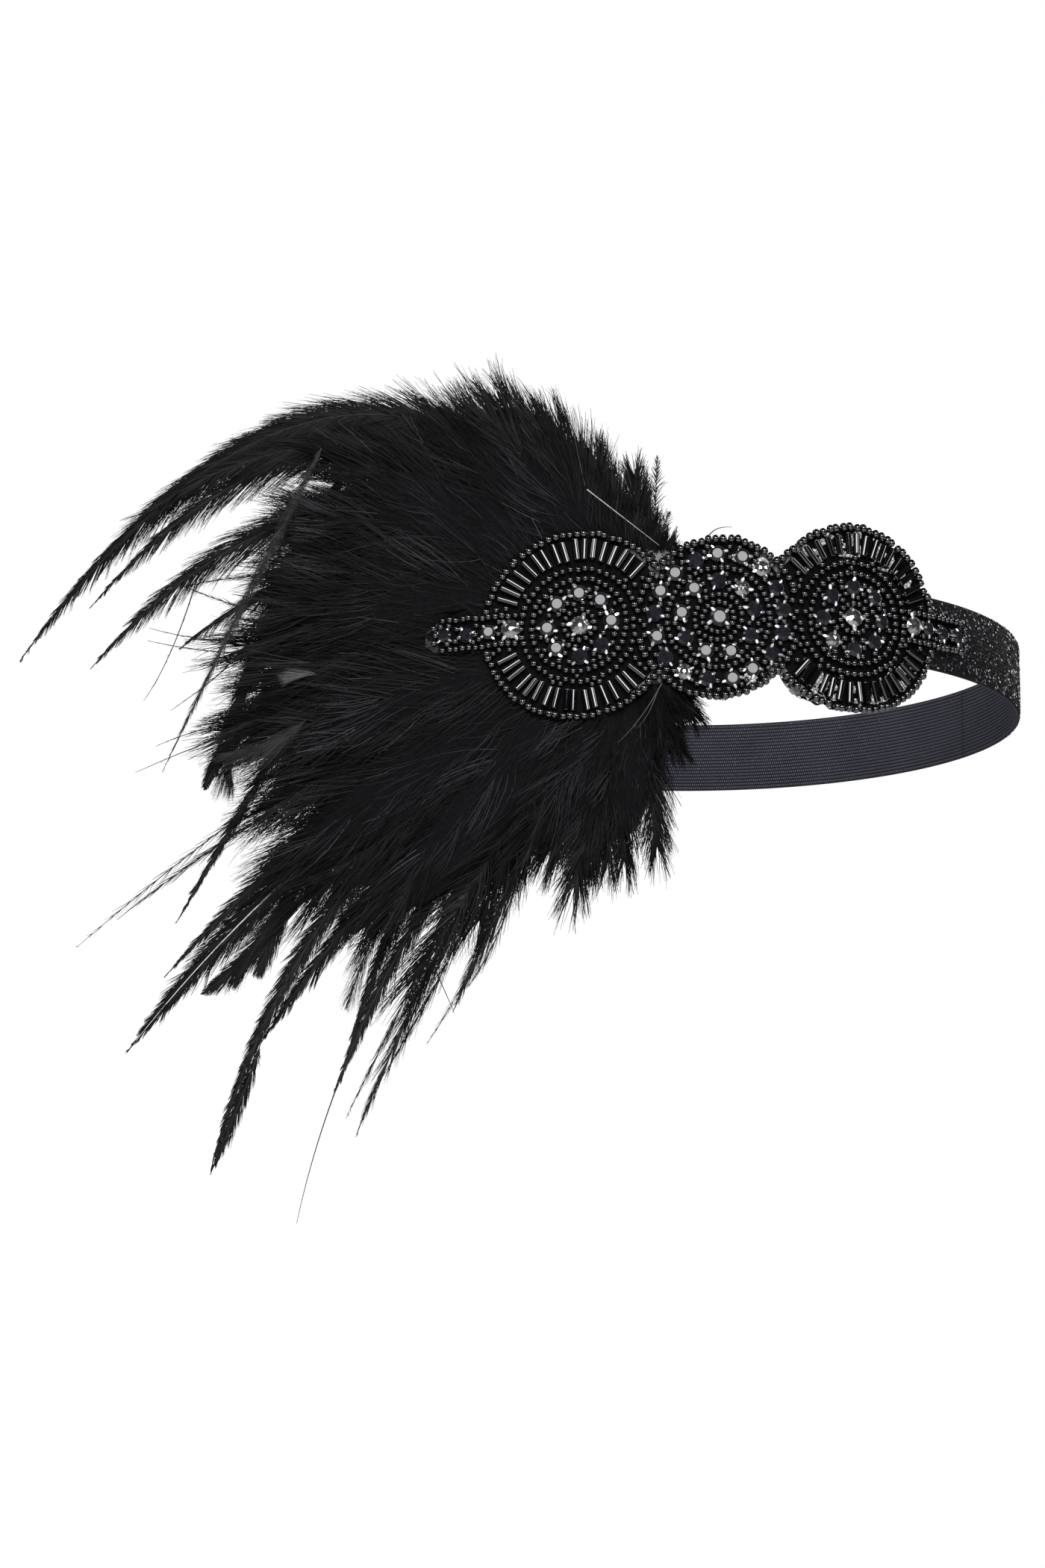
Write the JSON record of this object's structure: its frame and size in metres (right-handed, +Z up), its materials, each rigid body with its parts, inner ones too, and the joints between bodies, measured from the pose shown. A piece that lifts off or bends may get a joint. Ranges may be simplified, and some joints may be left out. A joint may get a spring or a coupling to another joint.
{
  "type": "flapper feather headband",
  "caption": "Loop of glitter elastic with a beaded medallion applique at the front and a plume of black feathers swept to one side.",
  "frame": {"origin": "centre of the elastic loop at half the elastic's height, where the head sits", "axes": "+Z up through the crown of the head, -Y the wearer's front where the applique lies, +X the wearer's left"},
  "size_m": [0.2763, 0.1937, 0.2312],
  "materials": {
    "elastic": "ribbed woven elastic, matt inside and covered in black glitter outside",
    "backing": "sheer grey net stiffened with clear glue",
    "bugle": "polished black glass bugle beads",
    "seed_bead": "polished black glass seed beads",
    "stone": "faceted dark grey rhinestones with a mirror back",
    "claw": "dark silver stamped claws",
    "feather": "dyed black marabou down and hackle feathers"
  },
  "bodies": {
    "root": {"elastic_band": "elastic", "applique_backing": "backing", "left_upper_bugles": "bugle", "left_lower_bugles": "bugle", "right_upper_bugles": "bugle", "right_lower_bugles": "bugle", "middle_outer_stones": "stone", "middle_inner_stones": "stone", "left_centre_stone": "stone", "left_ring_stone_1": "stone", "left_ring_stone_2": "stone", "left_ring_stone_3": "stone", "left_ring_stone_4": "stone", "left_ring_stone_5": "stone", "left_ring_stone_6": "stone", "left_ring_stone_7": "stone", "left_ring_stone_8": "stone", "left_tab_stone_1": "stone", "left_tab_stone_2": "stone", "left_tab_stone_3": "stone", "left_tab_stone_4": "stone", "right_centre_stone": "stone", "right_ring_stone_1": "stone", "right_ring_stone_2": "stone", "right_ring_stone_3": "stone", "right_ring_stone_4": "stone", "right_ring_stone_5": "stone", "right_ring_stone_6": "stone", "right_ring_stone_7": "stone", "right_ring_stone_8": "stone", "right_tab_stone_1": "stone", "right_tab_stone_2": "stone", "right_tab_stone_3": "stone", "right_tab_stone_4": "stone", "middle_centre_stone": "stone", "feather_plume": "feather"}
  },
  "joints": []
}
